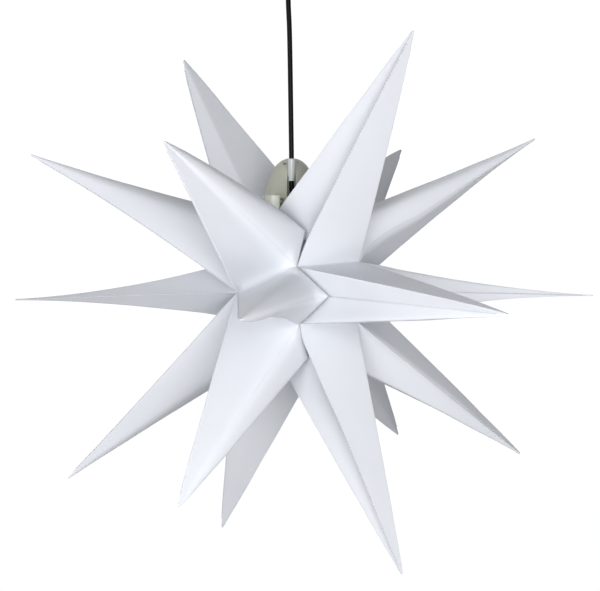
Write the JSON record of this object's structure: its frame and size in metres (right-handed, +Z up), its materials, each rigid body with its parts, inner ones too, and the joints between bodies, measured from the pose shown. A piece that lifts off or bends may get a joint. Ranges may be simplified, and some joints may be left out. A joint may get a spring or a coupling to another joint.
{
  "type": "moravian star pendant",
  "caption": "White sewn film Moravian star with long pointed spikes, hung by a round cord from a ceiling rose, with a dome cap and a screw lampholder and bulb inside.",
  "frame": {"origin": "centre of the ceiling rose's fixing plate, on the ceiling's surface, where the pendant is fastened", "axes": "+Z up into the ceiling, -Y towards the viewer of the front, +X to that viewer's right"},
  "size_m": [0.575, 0.565, 0.638],
  "materials": {
    "film": "thin white sewn film, satin",
    "cap_plastic": "satin cream grey moulding",
    "sleeve_plastic": "satin white moulding",
    "screw_steel": "zinc plated",
    "cord_black": "satin black sheath",
    "rose_plastic": "satin white moulding",
    "plate_steel": "zinc plated sheet",
    "terminal_plastic": "plain moulding",
    "socket_plastic": "satin white moulding",
    "ceramic_white": "white insulating insert",
    "brass_part": "plain sheet brass",
    "insulator_black": "black insulating ring",
    "nickel": "nickel plated sheet",
    "bulb_white": "white moulded housing",
    "board": "white coated metal board",
    "opal": "opal diffuser, unlit"
  },
  "bodies": {
    "ceiling": {"ceiling_rose": "rose_plastic", "mounting_plate": "plate_steel", "rose_screws": "screw_steel", "terminal_block": "terminal_plastic", "terminal_screws": "screw_steel", "cord_gland": "rose_plastic", "gland_nut": "rose_plastic", "gland_screw": "screw_steel", "cord_tail": "cord_black"},
    "bush": {"gland_bush": "rose_plastic"},
    "cord": {"cord_drop": "cord_black"},
    "star": {"top_panel_front": "film", "top_panel_front_right": "film", "top_panel_right": "film", "top_panel_back_right": "film", "top_panel_back_left": "film", "top_panel_left": "film", "upper_panel_front": "film", "upper_panel_front_right": "film", "upper_panel_right": "film", "upper_panel_back_right": "film", "upper_panel_back_left": "film", "upper_panel_left": "film", "lower_panel_front": "film", "lower_panel_front_right": "film", "lower_panel_right": "film", "lower_panel_back_right": "film", "lower_panel_back_left": "film", "lower_panel_left": "film", "base_panel_front": "film", "base_panel_front_right": "film", "base_panel_right": "film", "base_panel_back_right": "film", "base_panel_back_left": "film", "base_panel_left": "film", "dome_cap": "cap_plastic", "dome_screw": "screw_steel", "cord_sleeve": "sleeve_plastic", "film_holder": "cap_plastic", "holder_screws": "screw_steel", "film_studs": "cap_plastic", "inner_lead": "cord_black", "socket_cap": "socket_plastic", "socket_grub_screw": "screw_steel", "socket_skirt": "socket_plastic", "socket_insert": "ceramic_white", "socket_screws": "screw_steel", "socket_thread_shell": "brass_part", "socket_contact": "brass_part"},
    "bulb_pin": {"bulb_contact": "brass_part"},
    "bulb": {"bulb_insulator": "insulator_black", "bulb_screw_cap": "nickel", "bulb_housing": "bulb_white", "bulb_board": "board", "bulb_diffuser": "opal"}
  },
  "joints": [
    {"name": "swing_side", "type": "hinge", "parent": "ceiling", "child": "bush", "pos_m": [0, 0, -0.054], "axis": [0, 1, 0], "range_deg": [-15, 15]},
    {"name": "swing_front", "type": "hinge", "parent": "bush", "child": "cord", "pos_m": [0, 0, -0.054], "axis": [1, 0, 0], "range_deg": [-15, 15]},
    {"name": "star_turn", "type": "hinge", "parent": "cord", "child": "star", "pos_m": [0.0034, 0, -0.2507], "axis": [0, 0, 1], "range_deg": [-180, 180]},
    {"name": "bulb_travel", "type": "slide", "parent": "star", "child": "bulb_pin", "axis": [0, 0, -1], "range_m": [0, 0.01447]},
    {"name": "bulb_turn", "type": "hinge", "parent": "bulb_pin", "child": "bulb", "pos_m": [0.0108, 0.014, -0.351], "axis": [0, 0, -1], "range_deg": [0, 1440]}
  ],
  "couplings": [
    {"joint": "bulb_turn", "follows": "bulb_travel", "rad_per_m": 1735.7}
  ]
}
